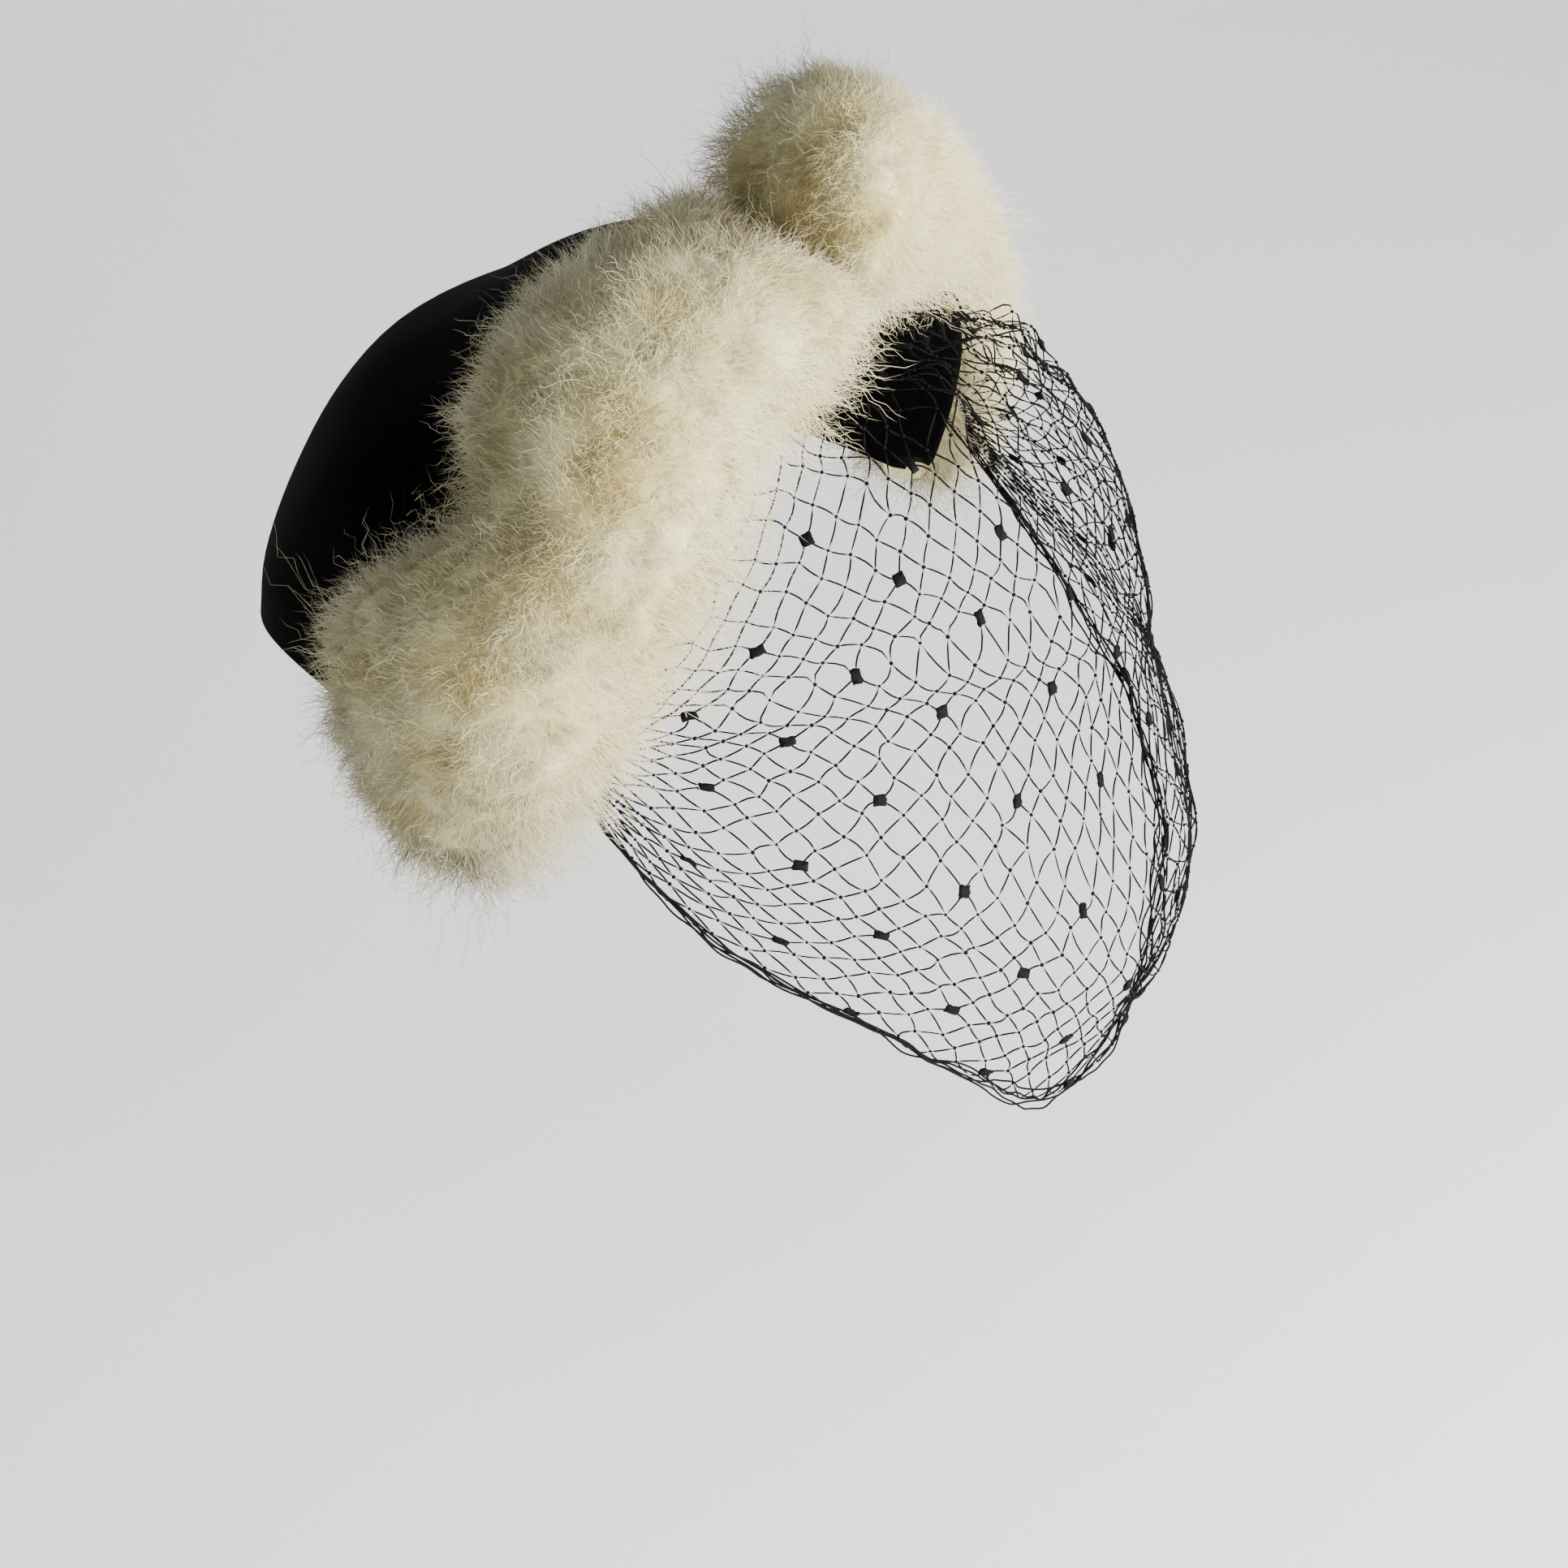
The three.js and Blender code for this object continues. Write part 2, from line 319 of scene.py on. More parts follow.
def makeFloor():
    # a round floor that turns up into a wall: height is an eased step along the radius
    rings, spokes = studio["rings"], studio["spokes"]
    radius = np.linspace(1, studio["wallRadius"], rings)[:, None]
    angle = 2 * np.pi * np.arange(spokes) / spokes
    rise = easeIn((radius - studio["floorRadius"]) / (studio["wallRadius"] - studio["floorRadius"]))
    z = studio["floor"] + studio["wallHeight"] * rise ** studio["wallCurve"] + 0 * angle
    points = np.stack([radius * np.cos(angle), radius * np.sin(angle), z], -1).reshape(-1, 3)
    paint = newMaterial("matt pale studio paper")  # no gloss, so it only carries soft shadows
    shader = addNode(paint, "ShaderNodeBsdfDiffuse", {"Color": linear(studio["floorColour"])})
    addNode(paint, "ShaderNodeOutputMaterial", links={"Surface": shader.outputs[0]})
    faces = [gridFaces(rings, spokes, True), np.arange(spokes)[None]]
    makeMesh("studio_floor", points, faces, paint)


makeCamera()
makeLamps()
makeFloor()
print("camera, lamps and floor made")

# the felt crown
felt = {
    "line": {"y": -8, "z": 26},  # the line from ear to ear about which its angles are measured
    "frontEdge": 112, "nape": -4, "sideRise": 18,  # the edges' angles, and the back edge's rise
    "margin": 0.015,  # the share of the way across that is left free at each ear
    "relief": {  # how far the wall stands off the ellipsoid along its middle
        "fan": [-6, 1, 16, 32, 48, 64, 80],
        "rise": [-2.2, -0.6, -0.4, 0.9, -2.3, 0.2, 0],
    },
    "across": 110, "over": 60, "rim": 5,  # steps across the head, over it and round a rim
    "wobble": 0.25, "wobbleSize": 40,  # how far the hand-blocked surface strays, and over what
    "nap": 0.7, "napDepth": 0.3, "worn": 30,  # the nap's grain and depth, and patches of wear
    "deepColour": "010101", "napColour": "060606", "napRange": (0.12, 0.45),
}


def feltMaterial():
    # wool felt blocked and brushed to a velour: very black and matt, with a short nap that
    # catches a little light at glancing angles and breaks up any shine
    stuff = newMaterial("brushed wool velour felt")
    place = addNode(stuff, "ShaderNodeTexCoord").outputs["Object"]
    nap = addNode(
        stuff, "ShaderNodeTexNoise", {"Scale": 1 / (felt["nap"] * mm), "Detail": 2.0},
        {"Vector": place}).outputs["Fac"]
    worn = addNode(
        stuff, "ShaderNodeTexNoise", {"Scale": 1 / (felt["worn"] * mm), "Detail": 3.0},
        {"Vector": place}).outputs["Fac"]
    both = addNode(stuff, "ShaderNodeMath", {"operation": "MULTIPLY"}, {0: nap, 1: worn})
    colour = addNode(stuff, "ShaderNodeValToRGB", links={"Fac": both.outputs[0]})
    ends = zip(colour.color_ramp.elements, (felt["deepColour"], felt["napColour"]), felt["napRange"])
    for end, shade, position in ends:
        end.color = linear(shade)
        end.position = position
    bump = addNode(
        stuff, "ShaderNodeBump", {"Strength": 0.3, "Distance": felt["napDepth"] * mm}, {"Height": nap})
    shader = addNode(
        stuff, "ShaderNodeBsdfPrincipled",
        {"Roughness": 1.0, "Specular IOR Level": 0.02, "Sheen Weight": 0.006, "Sheen Roughness": 0.4},
        {"Base Color": colour.outputs["Color"], "Normal": bump.outputs["Normal"]})
    addNode(stuff, "ShaderNodeOutputMaterial", links={"Surface": shader.outputs[0]})
    return stuff


def makeFelt():
    # a closed wall: its section runs over the head outside, round the back edge, back inside
    # and round the front edge, and is carried across from ear to ear, where it thins to nothing
    wall = feltWall
    share = np.linspace(felt["margin"], 1 - felt["margin"], felt["across"] + 1)
    ends = np.minimum(share - share[0], share[-1] - share) * np.pi * radii[0] / (wall / 2)
    thick = wall * np.sqrt(1 - (1 - np.clip(ends, 0, 1)) ** 2)
    rim = np.linspace(0, np.pi, felt["rim"] + 2)[1:-1]
    over = np.linspace(0, 1, felt["over"] + 1)
    way = np.concatenate([over[::-1], 0 * rim, over, 0 * rim + 1])
    face = np.concatenate([0 * over + 1, (1 + np.cos(rim)) / 2, 0 * over, (1 - np.cos(rim)) / 2])
    beyond = np.concatenate([0 * over, -np.sin(rim), 0 * over, np.sin(rim)]) * wall / 2
    way, share = way[None], share[:, None]
    back = felt["nape"] + felt["sideRise"] * np.cos(np.pi * share) ** 2
    reach = radii[1] * np.sin(np.pi * share) + wall
    fan = lerp(back, felt["frontEdge"], way) + np.degrees(beyond * thick[:, None] / wall / reach)
    level = lerp(felt["relief"]["fan"][0], felt["frontEdge"], way)
    rise = readTable(felt["relief"], "fan", "rise", level) * np.sin(np.pi * share)
    off = rise - wall / 2 + thick[:, None] * (face - 0.5)
    middle = onFan(felt["line"], share, np.radians(fan), rise)
    off = off + felt["wobble"] * ripple(middle, felt["wobbleSize"], seed=11) * np.sin(np.pi * way)
    points = onFan(felt["line"], share, np.radians(fan), off)
    rows, columns = off.shape
    faces = [gridFaces(rows, columns, True)[:, ::-1]]
    piece = makeMesh("felt_crown", points.reshape(-1, 3), faces, feltMaterial())
    closeUp(piece.data)
    seat(piece, "crown_shell")


makeFelt()
print("felt crown made")

# the fur strands. The table gives, at angles up from the ear, how far back and forward a
# strand's edges lie along the head and how high its top stands off the ellipsoid
strand = {
    "side": [10, 21, 31, 37, 43, 52, 63, 74, 84, 96],
    "back": [24, 31, 35, 25, 13, 21, 18, 8, 7, 7],
    "front": [-22, -32, -41, -47, -50, -51, -52, -54, -54, -54],
    "top": [34, 38, 39, 36, 35, 37, 42, 47, 50, 51],
}
strandForm = {
    "middle": 14, "depth": 24,  # how high a section's middle stands, and how far down it goes
    "roundness": 2.5,  # of the section and the ends: 2 is an oval, and more is fuller
    "earSide": 7, "earRound": 19,  # the angle where it starts, and over what angle it fills out
    "tipShare": 0.16, "joinShare": 0.7,  # the share of its size that it has at the ear and join
    "crowding": 1.3, "earCap": 0.03, "joinCap": 0.06,  # how its rows crowd, and its closed ends
}
# the angle where each strand ends and how much its end slants; over what angle it rounds off,
# and how far and over what angle it sinks there; and how slim it is at the ear
meeting = {
    "right": {"hand": 1, "end": 85.8, "slant": 0.22, "round": 9, "sink": 25, "sinkOver": 36, "slim": 1},
    "left": {"hand": -1, "end": 93.9, "slant": -0.22, "round": 12, "sink": 3, "sinkOver": 12, "slim": 0.78},
}
fur = {
    "inset": 7,  # how deep under the outer form the woolly core lies
    "backInset": 1.4, "frontInset": 1.9,  # how many times as deep it lies at the edges
    "edgeFrom": 18, "edgeOver": 20,  # the angle where that starts, and over what angle
    "bed": 1.2,  # the core's least height over the felt
    "flattened": 18,  # how deep a dent has to be to leave no pile standing in it
    "along": 150, "around": 110,  # steps
    "length": 130, "girth": 150,  # about how long a strand is and how far it is round
    "lumps": [(22, 0.4), (8, 0.3), (3, 0.15)],  # size and height of the core's lumps
    "coreShade": 0.55, "lumpShade": 0.12,  # how open the core looks, and its lumps more; the core is partly painted shade deep in the pile, darker between the lumps
    "rootsAndShaded": 0.5, "cloudy": 0.1, "cloud": 26,  # how strongly the yellow roots and painted shade show in the dents, and how strong the colour clouds are
    "fibre": 0.35, "fibreLength": 3.5, "bent": 5, "bend": 7,  # the streaks drawn on the core
    "coreGlow": 0.1, "hairGlow": 0.35,  # the share of the light that passes through
    # the root colour is partly the wool's yellower roots and partly painted shade deep in the pile and in
    # the dents
    "tip": "ded8b6", "mid": "cdc28e", "root": "a68e50",
}
# dents in the fur, or swells if less than 0 deep: where, how wide and how deep, and how far
# the yellow roots show there together with painted shade, which darkens and yellows the fur in and round
# its hollows
hollows = [
    {"hand": "left", "t": 0.99, "turn": 0, "reach": 13, "depth": 1, "rootsAndShade": 0.8},
    {"hand": "right", "t": 0.965, "turn": 0.235, "reach": 12, "depth": 8, "rootsAndShade": 0.8},
    {"hand": "right", "t": 0.49, "turn": 0.1, "reach": 9, "depth": 12, "rootsAndShade": 0.3},
    {"hand": "right", "t": 0.86, "turn": 0.25, "reach": 9, "depth": 1, "rootsAndShade": 0.2},
    {"hand": "right", "t": 0.66, "turn": 0.275, "reach": 11, "depth": 1.5, "rootsAndShade": 0.35},
    {"hand": "right", "t": 0.47, "turn": 0.235, "reach": 11, "depth": 2, "rootsAndShade": 0.35},
    {"hand": "right", "t": 0.56, "turn": 0.19, "reach": 9, "depth": 1, "rootsAndShade": 0.25},
    {"hand": "left", "t": 0.60, "turn": 0.26, "reach": 11, "depth": 1.5, "rootsAndShade": 0.35},
    {"hand": "left", "t": 0.38, "turn": 0.22, "reach": 10, "depth": 1.5, "rootsAndShade": 0.35},
    {"hand": "left", "t": 1, "turn": 0.25, "reach": 12, "depth": -5, "rootsAndShade": 0.5},
    {"hand": "left", "t": 0.975, "turn": 0.02, "reach": 12, "depth": -6, "rootsAndShade": 0},
    {"hand": "left", "t": 0.985, "turn": 0.46, "reach": 11, "depth": -5, "rootsAndShade": 0},
    {"hand": "right", "t": 0.975, "turn": 0.39, "reach": 10, "depth": -5, "rootsAndShade": 0},
]


def rounded(t):
    # how full a rounded end is: 0 at the end, 1 from t = 1 on
    power = strandForm["roundness"]
    return (1 - (1 - np.clip(t, 0, 1)) ** power) ** (1 / power)


def strandSkin(join, t, turn, inset=0.0):
    # the fur's outer form: an oval section carried up the head from the ear to the join, and
    # closed to a point at both ends. t runs along the strand, turn goes round the section
    # from its back edge over the top, and inset draws the surface in by so many millimetres,
    # more at the edges
    form = strandForm
    insetTurn = np.degrees(inset / radii[2])
    side = lerp(form["earSide"] + insetTurn, join["end"] - insetTurn, t ** form["crowding"])
    atJoin = lerp(form["joinShare"], 1, rounded((join["end"] - side) / join["round"]))
    full = np.maximum(rounded((side - form["earSide"]) / form["earRound"]), form["tipShare"]) * atJoin
    cap = rounded(t / form["earCap"]) * rounded((1 - t) / form["joinCap"])
    sunk = join["sink"] * np.clip(1 - (join["end"] - side) / join["sinkOver"], 0, 1) ** 2
    size = lerp(join["slim"], 1, t ** 2)
    back = readTable(strand, "side", "back", side) * size
    front = readTable(strand, "side", "front", side) * size
    rise = readTable(strand, "side", "top", side) * size - form["middle"] - sunk
    angle = 2 * np.pi * turn
    power = 2 / form["roundness"]
    wide = np.sign(np.cos(angle)) * np.abs(np.cos(angle)) ** power
    up = np.sign(np.sin(angle)) * np.abs(np.sin(angle)) ** power
    half = (back - front) / 2 * full
    deeper = easeIn((side - fur["edgeFrom"]) / fur["edgeOver"])
    backEdge = half - lerp(1, fur["backInset"], deeper) * inset
    frontEdge = -half + lerp(1, fur["frontInset"], deeper) * inset
    across = np.maximum((backEdge - frontEdge) / 2, 1) * wide * cap
    middle = (back + front) / 2 + (backEdge + frontEdge) / 2
    high = np.where(up > 0, rise, form["depth"]) * full
    off = full * form["middle"] + np.maximum(high - inset, 1) * up * cap
    leaning = np.radians(side + join["slant"] * across * t ** 4)
    points = onHead(leaning, middle + across, off)
    points[..., 0] *= join["hand"]
    return points


def heightOverHead(points):
    # about how far a point lies outside the ellipsoid: its scaled radius less 1, over the
    # steepness of that
    p = points - headMiddle
    scaled = np.linalg.norm(p / radii, axis=-1)
    return (scaled - 1) * scaled / np.linalg.norm(p / radii ** 2, axis=-1)


def headNormal(points):
    # straight out of the ellipsoid
    return unit((points - headMiddle) / radii ** 2)


def raised(points, least):
    # lifts what would lie lower than least over the felt up to it
    return points + headNormal(points) * np.maximum(least - heightOverHead(points), 0)[..., None]


def rootsAndShadeAt(points):
    # how much of the yellow roots and of the painted shade of the hollows shows at a point, and how far it
    # is pressed in
    rootsAndShade, depth = 0, 0
    for dent in hollows:
        place = strandSkin(meeting[dent["hand"]], np.array(dent["t"]), np.array(dent["turn"]))
        near = np.exp(-((points - place) ** 2).sum(-1) / dent["reach"] ** 2)
        rootsAndShade, depth = rootsAndShade + dent["rootsAndShade"] * near, depth + dent["depth"] * near
    return rootsAndShade, depth


def furCore(join, t, turn):
    # the dense wool under the pile: the outer form drawn in, with dents and lumps. Gives the
    # place, the way out of the fur there, the lump's height and how much yellow roots and painted shade
    # show
    t = np.clip(t, 0, 1)
    skin = strandSkin(join, t, turn)
    place = strandSkin(join, t, turn, fur["inset"])
    way = unit(skin - place)
    rootsAndShade, depth = rootsAndShadeAt(skin)
    lump = sum(height * ripple(place, size, seed=31 + n) for n, (size, height) in enumerate(fur["lumps"]))
    place = raised(place + way * (lump - depth)[..., None], fur["bed"])
    return place, way, lump, rootsAndShade


def furTint(openness, rootsAndShade, points):
    # colour by how open the fur is, from its roots (0) to its lit tips (1), clouded a little. The darker,
    # yellower roots are partly the wool's own colour and partly painted shade deep in the pile;
    # the painted shade of the dents draws the colour further towards them
    root, mid, tip = (np.array(linear(fur[key])) for key in ("root", "mid", "tip"))
    openness = openness - fur["rootsAndShaded"] * rootsAndShade + fur["cloudy"] * ripple(points, fur["cloud"], seed=5)
    openness = np.clip(openness, 0, 1)[..., None]
    low, high = lerp(root, mid, openness * 2), lerp(mid, tip, openness * 2 - 1)
    colour = np.where(openness < 0.5, low, high)
    colour[..., 3] = 1
    return colour


def furMaterial(name, glow, streaks):
    # undyed combed wool fur: fine, matt, slightly see-through fibres that pass light on, so that it
    # glows where lit; its ivory tips and yellow depths come from the tint, partly painted shade deep in the
    # pile
    stuff = newMaterial(name)
    colour = addNode(stuff, "ShaderNodeAttribute", {"attribute_name": "tint"}).outputs["Color"]
    settings = {"Roughness": 0.9, "Specular IOR Level": 0.15, "Sheen Weight": 0.1, "Sheen Roughness": 0.6}
    links = {}
    if streaks:
        # single fibres are about 0.03 mm; they are drawn ten times as coarse so that they show
        flow = addNode(stuff, "ShaderNodeAttribute", {"attribute_name": "flow"}).outputs["Vector"]
        place = addNode(stuff, "ShaderNodeTexCoord").outputs["Object"]
        bend = addNode(
            stuff, "ShaderNodeTexNoise", {"Scale": 1 / (fur["bend"] * mm), "Detail": 2.0},
            {"Vector": place})
        bent = addNode(
            stuff, "ShaderNodeVectorMath", {"operation": "MULTIPLY_ADD", 1: [fur["bent"] * mm] * 3},
            {0: bend.outputs["Color"], 2: flow})
        grain = (1 / (fur["fibre"] * mm), 1 / (fur["fibreLength"] * mm), 1)
        drawn = addNode(
            stuff, "ShaderNodeVectorMath", {"operation": "MULTIPLY", 1: grain}, {0: bent.outputs[0]})
        fibre = addNode(
            stuff, "ShaderNodeTexNoise", {"Scale": 1.0, "Detail": 2.0},
            {"Vector": drawn.outputs[0]}).outputs["Fac"]
        bump = addNode(stuff, "ShaderNodeBump", {"Strength": 0.6, "Distance": 0.5 * mm}, {"Height": fibre})
        shade = addNode(
            stuff, "ShaderNodeMapRange", {"From Min": 0.3, "From Max": 0.7, "To Min": 0.86, "To Max": 1.06},
            {"Value": fibre})
        tinted = addNode(
            stuff, "ShaderNodeVectorMath", {"operation": "MULTIPLY"}, {0: colour, 1: shade.outputs[0]})
        colour = tinted.outputs[0]
        links = {"Normal": bump.outputs["Normal"]}
    shader = addNode(stuff, "ShaderNodeBsdfPrincipled", settings, {"Base Color": colour, **links})
    through = addNode(stuff, "ShaderNodeBsdfTranslucent", links={"Color": colour})
    mix = addNode(stuff, "ShaderNodeMixShader", {0: glow}, {1: shader.outputs[0], 2: through.outputs[0]})
    addNode(stuff, "ShaderNodeOutputMaterial", links={"Surface": mix.outputs[0]})
    return stuff


def makeCore(hand, join, material):
    # the core as one closed surface, its rows closer together towards both ends; flow is how
    # far along and round a place lies, in metres, for the streaks to follow
    t = 0.5 - 0.5 * np.cos(np.pi * np.linspace(0, 1, fur["along"]))[:, None]
    t, turn = np.broadcast_arrays(t, (np.arange(fur["around"]) / fur["around"])[None])
    place, _, lump, rootsAndShade = furCore(join, t, turn)
    place[0], place[-1] = place[0].mean(0), place[-1].mean(0)
    faces = gridFaces(*t.shape, True)
    faces = faces if join["hand"] > 0 else faces[:, ::-1]
    # the core takes the colour of the pile's depths, partly painted shade, and is darker between its lumps
    # than on them
    tint = furTint(fur["coreShade"] + fur["lumpShade"] * lump, rootsAndShade, place).reshape(-1, 4)
    piece = makeMesh(f"fur_core_{hand}", place.reshape(-1, 3), [faces], material, tint)
    aside = (turn + 0.25) % 1 - 0.5
    flow = np.stack([t * fur["length"], aside * fur["girth"], 0 * t], -1) * mm
    streaks = piece.data.attributes.new("flow", "FLOAT_VECTOR", "POINT")
    streaks.data.foreach_set("vector", flow.astype(np.float32).ravel())
    closeUp(piece.data)
    seat(piece, f"fur_trim_{hand}")


hairKinds = {
    # tufts on the right strand and hairs in each; reach is a hair's length, and fringe how
    # much longer it is at the edges; spread is how far apart a tuft's roots lie and gather how
    # much its tips close in; edge puts more of them along the strand's edges; curl and wave
    # are the crimp's slope and length, and hook its bend; lean is how far a hair leans down
    # over the edges and scatter how far its way strays
    "down": {
        "tufts": 11000, "hairs": 3, "points": 3, "reach": (4.5, 7.5), "thick": 0.11, "fringe": 0.6,
        "spread": 1.5, "gather": 0.1, "edge": 0.0, "curl": 0.4, "wave": 9, "hook": 0.5,
        "lean": 0.3, "scatter": 0.7},
    "guard": {
        "tufts": 3600, "hairs": 3, "points": 5, "reach": (6.5, 10), "thick": 0.10, "fringe": 0.6,
        "spread": 1.4, "gather": 0.2, "edge": 0.5, "curl": 0.7, "wave": 7, "hook": 0.8,
        "lean": 0.3, "scatter": 0.8},
    "wisp": {
        "tufts": 1350, "hairs": 4, "points": 8, "reach": (9, 15), "thick": 0.10, "fringe": 0.6,
        "spread": 1.5, "gather": 0.4, "edge": 0.8, "curl": 1.2, "wave": 6.5, "hook": 1.0,
        "lean": 0.3, "scatter": 0.9},
    "stray": {
        "tufts": 700, "hairs": 3, "points": 10, "reach": (14, 22), "thick": 0.09, "fringe": 0.5,
        "spread": 1.2, "gather": 0.5, "edge": 1.0, "curl": 1.3, "wave": 6, "hook": 1.4,
        "lean": 0.3, "scatter": 0.7},
}
hair = {  # what all kinds share
    "left": 0.8,  # how many the slimmer left strand has for each one on the right
    "cells": (100, 72),  # the grid along and round a strand that roots are drawn from
    "downhill": 0.02,  # the step round the strand that finds the way to its edge
    "edgeTop": 4, "edgeFades": 16,  # how high the strand's edges reach, and over what they fade
    "clump": 9, "clumped": 0.4,  # the size of clumps that lean as one, and how far they do
    "alone": 0.55,  # how far a tuft leans from its clump
    "earFringe": 0.05,  # the share of the strand at the ear where the fringe is also longer
    "patch": 14, "patchy": 0.12,  # the size of patches of longer pile, and how much longer
    "pressed": 0.8,  # the most of a hair's length that a dent takes
    "bend": 12, "bentTogether": 0.5, "bentAlone": 0.7,  # how far and how evenly hairs hook
    "oval": 0.6, "rootCurl": 0.3,  # a wave's lesser width for its greater, and its size at a root
    "loose": 0.12,  # how far a hair's tip leaves its tuft, for its length
    "shortest": 0.7,  # a tuft's shortest hair for its longest
    "taper": 0.7, "thickness": (0.75, 1.25),  # how much thinner a tip is, and how hairs differ
    "least": 1.0,  # a hair's least height over the felt
    # a hair's colour runs from its root to its tip; the darker root is partly painted shade deep in the
    # pile
    "rootShade": 0.6, "tipShade": 0.32,  # how open the fur looks at a root, and how much more
    "ownShade": 0.1, "brightness": (0.78, 1.1),  # at a tip; and how hairs differ in that
    "formLight": 0.7, "ownLight": 0.6,  # how much it is lit as the fur's form, and as a hair
}


def rootChooser(join, rng):
    # draws places on a strand so that each bit of fur gets its share: a cell of the grid is
    # drawn as often as its area, and never where the fur lies on the felt
    rows, columns = hair["cells"]
    middles = (np.arange(rows) + 0.5) / rows, (np.arange(columns) + 0.5) / columns
    t, turn = np.meshgrid(*middles, indexing="ij")
    step = 0.4  # of a cell
    a = strandSkin(join, t + step / rows, turn) - strandSkin(join, t - step / rows, turn)
    b = strandSkin(join, t, turn + step / columns) - strandSkin(join, t, turn - step / columns)
    area = np.linalg.norm(np.cross(a, b), axis=-1)
    skin = strandSkin(join, t, turn)
    high = heightOverHead(skin)
    past = skin - headMiddle - np.array([0, felt["line"]["y"], felt["line"]["z"]])
    past = np.degrees(np.arctan2(past[..., 2], past[..., 1])) - felt["frontEdge"]
    # bare at the felt, and half as thick on what lies past the felt's front edge
    bare = np.maximum(easeIn((high + 1) / 2), 0.5 * easeIn((past - 1) / 3))
    low = 1 - easeIn((high - hair["edgeTop"]) / hair["edgeFades"])

    def choose(count, edge):
        weight = area * bare * lerp(1, low, edge)
        cell = rng.choice(rows * columns, count, p=(weight / weight.sum()).ravel())
        t = (cell // columns + rng.random(count)) / rows
        turn = (cell % columns + rng.random(count)) / columns
        return t, turn

    return choose


def coreNormal(join, t, turn, out):
    # the way straight out of the core: across its slopes along and round the strand
    step = 0.004
    along = furCore(join, t + step, turn)[0] - furCore(join, t - step, turn)[0]
    around = furCore(join, t, turn + step)[0] - furCore(join, t, turn - step)[0]
    normal = unit(np.cross(along, around))
    return normal * np.sign((normal * out).sum(-1, keepdims=True))


def hairWays(join, t, turn, root, out, style, rng):
    # the way in which each tuft sets out: out of the core and a little down towards the
    # strand's edge, with its neighbours in a clump and then a little on its own
    normal = coreNormal(join, t, turn, out)
    lower = turn - hair["downhill"] * np.cos(2 * np.pi * turn)
    aside = strandSkin(join, t, lower) - strandSkin(join, t, turn)
    clump = style["scatter"] * hair["clumped"] * ripple(root, hair["clump"], seed=71, outputs=3)
    way = unit(out + normal) + style["lean"] * unit(aside) + clump
    return unit(way + hair["alone"] * style["scatter"] * rng.normal(size=(len(t), 3)))[:, None]


def hairLengths(t, turn, root, style, rng):
    # longer at the edges and at the ear, uneven in patches, and short where a dent presses
    fringe = np.cos(2 * np.pi * turn) ** 2 + np.exp(-t / hair["earFringe"])
    pressed = np.clip(rootsAndShadeAt(root)[1] / fur["flattened"], 0, hair["pressed"])
    longer = 1 + style["fringe"] * fringe + hair["patchy"] * ripple(root, hair["patch"], seed=72)
    return (rng.uniform(*style["reach"], len(t)) * (longer * (1 - pressed)))[:, None, None]


def hairGuides(way, length, root, style, rng):
    # a tuft's guide hair swings as a wave and hooks more and more towards its tip; it is the
    # sum of its steps. s is the share of its length
    count = len(root)
    together = hair["bentTogether"] * ripple(root, hair["bend"], seed=73, outputs=3)
    hook = style["hook"] * (together + hair["bentAlone"] * rng.normal(size=(count, 3)))[:, None]
    one = unit(np.cross(way, rng.normal(size=(count, 1, 3))))
    two = np.cross(way, one)
    s = np.linspace(0, 1, style["points"])[None, :, None]
    middle = (s[:, 1:] + s[:, :-1]) / 2
    phase = rng.uniform(0, 2 * np.pi, (count, 1, 1)) + 2 * np.pi * length / style["wave"] * middle
    crimp = np.cos(phase) * one + hair["oval"] * np.sin(phase) * two
    swing = style["curl"] * (hair["rootCurl"] + middle) * crimp
    steps = unit(way + swing + hook * middle ** 2) * length / (style["points"] - 1)
    return s, np.concatenate([0 * steps[:, :1], np.cumsum(steps, 1)], 1)


